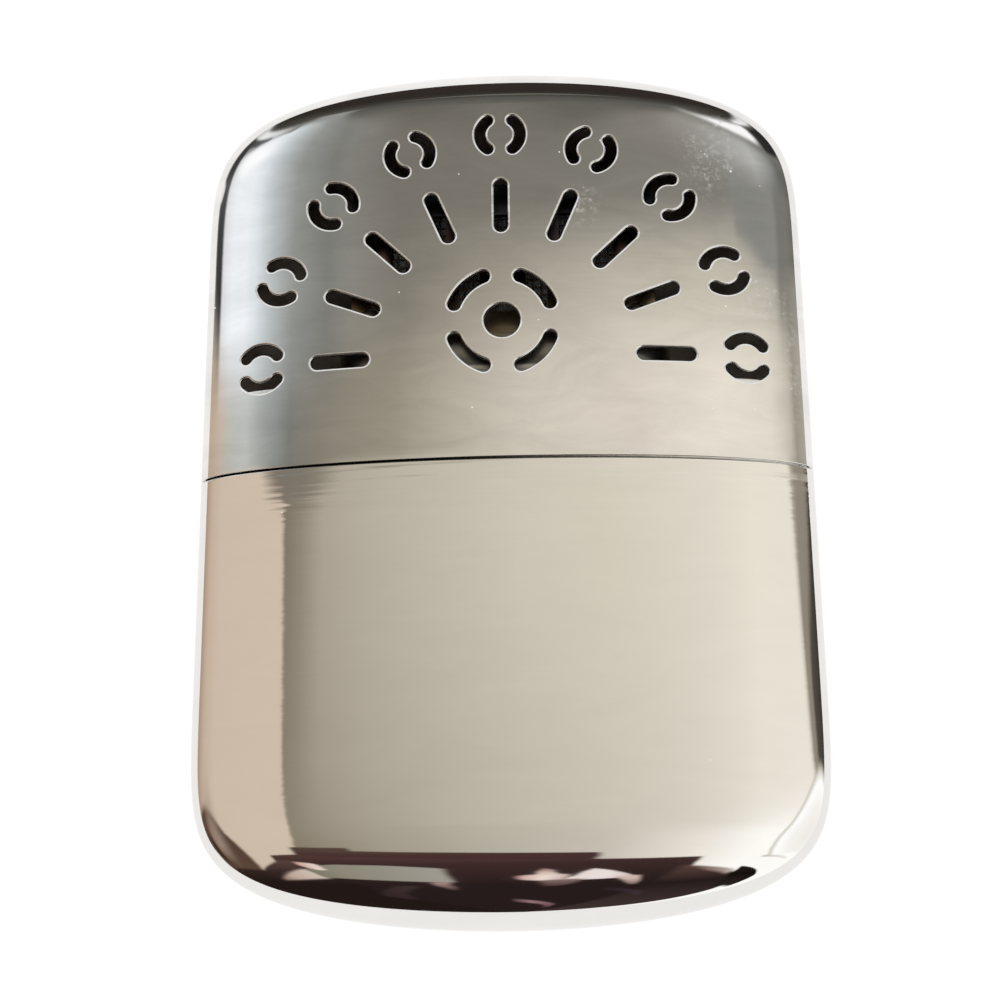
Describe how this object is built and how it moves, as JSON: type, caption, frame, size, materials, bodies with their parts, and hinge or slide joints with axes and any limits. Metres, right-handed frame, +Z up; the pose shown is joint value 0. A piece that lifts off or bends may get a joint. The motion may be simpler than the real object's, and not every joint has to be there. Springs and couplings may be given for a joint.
{
  "type": "catalytic hand warmer",
  "caption": "Flat pocket hand warmer: a vented cap slides off a cotton-packed fuel tank and a lift-off catalytic burner on an oval neck.",
  "frame": {"origin": "centre of the footprint, on the surface that the warmer lies on, back face down", "axes": "+X across the body, +Y along it towards the cap's closed end, +Z up out of the vented face"},
  "size_m": [0.0676, 0.0982, 0.014],
  "materials": {
    "cap_plate": "mirror-polished nickel plate with faint sideways polishing lines",
    "tank_plate": "mirror-polished nickel plate with faint sideways polishing lines",
    "collar_plate": "plated, rubbed by the cap",
    "neck_metal": "plated brass, thin at the rim",
    "burner_metal": "satin, heat-tinted towards the mat",
    "guard_metal": "satin, heat-tinted",
    "screen_wire": "fine dull screen",
    "rivet_metal": "satin",
    "catalyst_fibre": "matted grey glass fibre",
    "cotton": "loose white cotton",
    "felt": "pressed felt"
  },
  "bodies": {
    "tank": {"tank_shell": "tank_plate", "tank_collar": "collar_plate", "filler_neck": "neck_metal", "lower_wadding": "cotton", "upper_wadding": "cotton", "neck_wick": "felt"},
    "burner": {"burner_base": "burner_metal", "burner_frame": "burner_metal", "catalyst_mat": "catalyst_fibre", "burner_screen_front": "screen_wire", "burner_screen_rear": "screen_wire", "burner_guard_front": "guard_metal", "burner_guard_rear": "guard_metal", "burner_rivets": "rivet_metal"},
    "cap": {"cap_shell": "cap_plate"}
  },
  "joints": [
    {"name": "cap_lift", "type": "slide", "parent": "tank", "child": "cap", "axis": [0, 1, 0], "range_m": [0, 0.05]},
    {"name": "burner_lift", "type": "slide", "parent": "tank", "child": "burner", "axis": [0, 1, 0], "range_m": [0, 0.01]}
  ]
}
